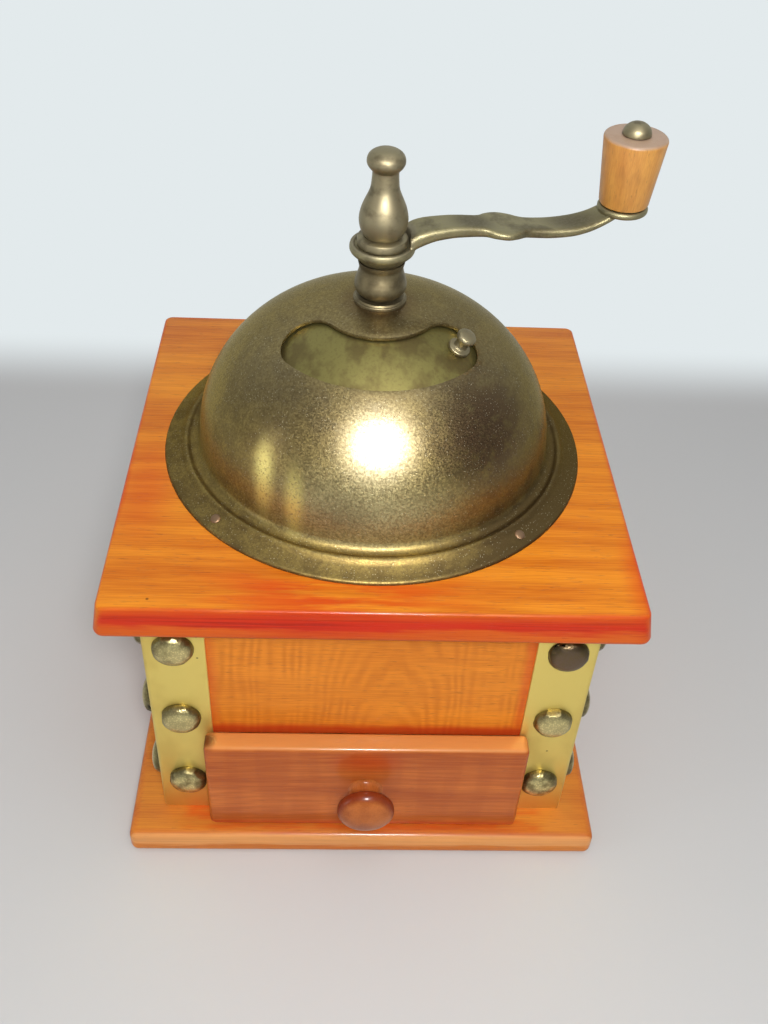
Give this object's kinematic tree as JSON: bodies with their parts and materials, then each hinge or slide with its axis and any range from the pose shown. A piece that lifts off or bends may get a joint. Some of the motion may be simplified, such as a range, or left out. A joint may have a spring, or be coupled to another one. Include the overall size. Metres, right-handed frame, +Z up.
{
  "type": "manual coffee grinder",
  "caption": "Wooden box hand grinder with a brass dome hopper, a turning door, a crank with a wooden handle, a burr mill inside and a drawer below.",
  "frame": {"origin": "middle of the base board's flat underside, where the grinder stands; the spindle's axis passes through it", "axes": "+Z up along the spindle; -Y to the front, where the drawer opens; +X to the right"},
  "size_m": [0.1598, 0.1674, 0.2216],
  "materials": {
    "board_wood": "orange varnish",
    "case_wood": "orange brown varnish",
    "drawer_wood": "red brown varnish",
    "plain_wood": "unvarnished",
    "handle_wood": "worn varnish",
    "strip_brass": "satin",
    "stud_brass": "hammered, antiqued",
    "dome_brass": "tarnished, worn",
    "door_brass": "tarnished, smooth",
    "turned_bronze": "antiqued, turned",
    "cast_brass": "cast, dull",
    "copper": "dull copper",
    "cast_iron": "rough cast",
    "steel": "machined"
  },
  "bodies": {
    "grinder_body": {"base_board": "board_wood", "top_board": "board_wood", "left_wall": "case_wood", "right_wall": "case_wood", "front_panel": "case_wood", "back_wall": "case_wood", "corner_strip_front_left": "strip_brass", "corner_strip_front_right": "strip_brass", "corner_strip_back_left": "strip_brass", "corner_strip_back_right": "strip_brass", "stud_front_left_end_1": "stud_brass", "stud_front_left_end_2": "stud_brass", "stud_front_left_end_3": "stud_brass", "stud_front_left_side_1": "stud_brass", "stud_front_left_side_2": "stud_brass", "stud_front_left_side_3": "stud_brass", "stud_front_right_end_1": "stud_brass", "stud_front_right_end_2": "stud_brass", "stud_front_right_end_3": "stud_brass", "stud_front_right_side_1": "stud_brass", "stud_front_right_side_2": "stud_brass", "stud_front_right_side_3": "stud_brass", "stud_back_left_end_1": "stud_brass", "stud_back_left_end_2": "stud_brass", "stud_back_left_end_3": "stud_brass", "stud_back_left_side_1": "stud_brass", "stud_back_left_side_2": "stud_brass", "stud_back_left_side_3": "stud_brass", "stud_back_right_end_1": "stud_brass", "stud_back_right_end_2": "stud_brass", "stud_back_right_end_3": "stud_brass", "stud_back_right_side_1": "stud_brass", "stud_back_right_side_2": "stud_brass", "stud_back_right_side_3": "stud_brass", "dome": "dome_brass", "dome_bush": "turned_bronze", "dome_nail_1": "copper", "dome_nail_2": "copper", "dome_nail_3": "copper", "dome_nail_4": "copper", "mill_housing": "cast_iron", "outer_burr": "steel", "upper_bridge": "cast_iron", "lower_bridge": "cast_iron"},
    "crank": {"spindle": "steel", "inner_burr": "steel", "crank_sleeve": "turned_bronze", "crank_arm": "cast_brass", "finial_nut": "turned_bronze", "handle_pin": "cast_brass"},
    "handle": {"crank_handle": "handle_wood"},
    "door": {"hopper_door": "door_brass", "door_knob": "turned_bronze"},
    "drawer": {"drawer_front": "drawer_wood", "drawer_left_side": "plain_wood", "drawer_right_side": "plain_wood", "drawer_back": "plain_wood", "drawer_bottom": "plain_wood", "drawer_knob": "drawer_wood"},
    "adjuster": {"adjusting_screw": "steel"}
  },
  "joints": [
    {"name": "crank_turn", "type": "hinge", "parent": "grinder_body", "child": "crank", "pos_m": [0, 0, 0.19], "axis": [0, 0, 1], "continuous": true},
    {"name": "handle_spin", "type": "hinge", "parent": "crank", "child": "handle", "pos_m": [0.07101, 0.01509, 0.2], "axis": [0, 0, 1], "continuous": true},
    {"name": "door_turn", "type": "hinge", "parent": "grinder_body", "child": "door", "pos_m": [0, 0, 0.16], "axis": [0, 0, 1], "range_deg": [-115, 0]},
    {"name": "drawer_pull", "type": "slide", "parent": "grinder_body", "child": "drawer", "axis": [0, -1, 0], "range_m": [0, 0.095]},
    {"name": "grind_adjust", "type": "hinge", "parent": "grinder_body", "child": "adjuster", "pos_m": [0, 0, 0.065], "axis": [0, 0, 1], "range_deg": [0, 360]}
  ]
}
